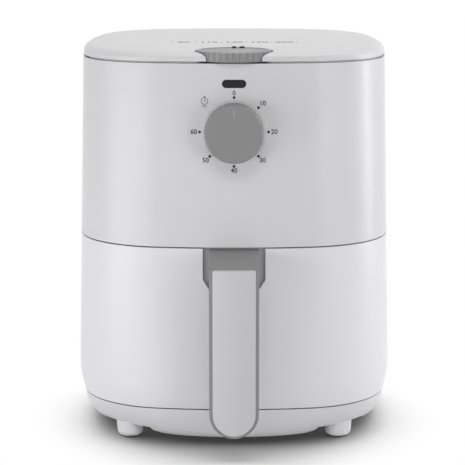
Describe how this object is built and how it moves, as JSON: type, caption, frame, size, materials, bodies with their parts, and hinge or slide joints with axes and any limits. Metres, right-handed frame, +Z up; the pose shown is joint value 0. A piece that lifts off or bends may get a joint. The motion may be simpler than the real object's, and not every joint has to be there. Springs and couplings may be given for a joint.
{
  "type": "drawer air fryer",
  "caption": "White countertop air fryer with a rounded square body, pull-out bowl drawer with hanging handle, timer knob on the front and temperature wheel in the lid.",
  "frame": {"origin": "centre of the whole footprint, on the surface it stands on", "axes": "+Z up, front with handle and knob towards -Y, +X to the right seen from the front"},
  "size_m": [0.253, 0.2942, 0.3074],
  "materials": {
    "casing": "satin white moulding",
    "lid": "satin white moulding",
    "base": "satin white moulding",
    "bezel": "satin white moulding",
    "knob": "matt mid grey",
    "wheel": "matt mid grey",
    "pointer_light": "white print",
    "pointer_dark": "dark print",
    "lens": "smoked clear",
    "handle_grey": "matt mid grey",
    "handle_cover": "satin white moulding",
    "inner_plastic": "black heat-proof moulding",
    "rubber": "matt black",
    "silicone": "matt dark grey",
    "nonstick": "fine non-stick coating",
    "steel": "zinc plated",
    "screws": "zinc plated",
    "laminations": "bare laminations",
    "winding": "enamelled copper wire",
    "bronze": "sintered bronze",
    "aluminium": "pressed sheet",
    "element": "heat-darkened steel tube",
    "lamp": "neon lamp",
    "switch_white": "ivory moulding"
  },
  "bodies": {
    "housing": {"main_housing": "casing", "rear_housing": "casing", "top_cover": "lid", "base": "base", "floor_plate": "inner_plastic", "air_outlet_grille": "inner_plastic", "cord_gland": "rubber", "foot_pad_front_left": "rubber", "foot_pad_front_right": "rubber", "foot_pad_rear_left": "rubber", "foot_pad_rear_right": "rubber", "timer_bezel": "bezel", "timer_body": "steel", "timer_screws": "screws", "pilot_lens": "lens", "pilot_lamp": "lamp", "thermostat": "inner_plastic", "thermostat_bracket": "steel", "bracket_screws": "screws", "lid_screws": "screws", "chamber_deck": "inner_plastic", "deck_screws": "screws", "heat_reflector": "aluminium", "heating_element": "element", "element_clips": "steel", "motor_plate": "steel", "motor_standoffs": "steel", "motor_stator": "laminations", "motor_coil": "winding", "motor_bracket_lower": "steel", "motor_bracket_upper": "steel", "motor_bushes": "bronze", "terminal_block": "switch_white", "drawer_bay": "inner_plastic", "drawer_switch": "inner_plastic"},
    "drawer": {"drawer_front": "casing", "drawer_frame": "inner_plastic", "bowl": "nonstick", "bowl_striker": "nonstick", "handle_bracket": "handle_grey", "handle_core": "handle_grey", "handle_cover": "handle_cover", "handle_screws": "screws"},
    "tray": {"crisper_tray": "nonstick", "tray_bumpers": "silicone"},
    "timer_dial": {"timer_knob": "knob", "knob_pointer": "pointer_light", "timer_shaft": "steel"},
    "temperature_dial": {"temperature_wheel": "wheel", "wheel_mark": "pointer_dark", "thermostat_spindle": "steel"},
    "fan_rotor": {"hot_fan": "aluminium", "cooling_fan": "inner_plastic", "motor_shaft": "steel", "motor_rotor": "steel"},
    "switch_button": {"switch_plunger": "switch_white"}
  },
  "joints": [
    {"name": "drawer_slide", "type": "slide", "parent": "housing", "child": "drawer", "axis": [0, -1, 0], "range_m": [0, 0.24]},
    {"name": "tray_lift", "type": "slide", "parent": "drawer", "child": "tray", "axis": [0, 0, 1], "range_m": [0, 0.1]},
    {"name": "timer_turn", "type": "hinge", "parent": "housing", "child": "timer_dial", "pos_m": [0, -0.1045, 0.2453], "axis": [0, 1, 0], "range_deg": [0, 270]},
    {"name": "temperature_turn", "type": "hinge", "parent": "housing", "child": "temperature_dial", "pos_m": [0, -0.0797, 0.3], "axis": [0, 0, 1], "range_deg": [-65, 65]},
    {"name": "fan_spin", "type": "hinge", "parent": "housing", "child": "fan_rotor", "pos_m": [0, 0.0185, 0.2], "axis": [0, 0, 1], "continuous": true},
    {"name": "switch_press", "type": "slide", "parent": "housing", "child": "switch_button", "axis": [0, 1, 0], "range_m": [0, 0.002]}
  ]
}
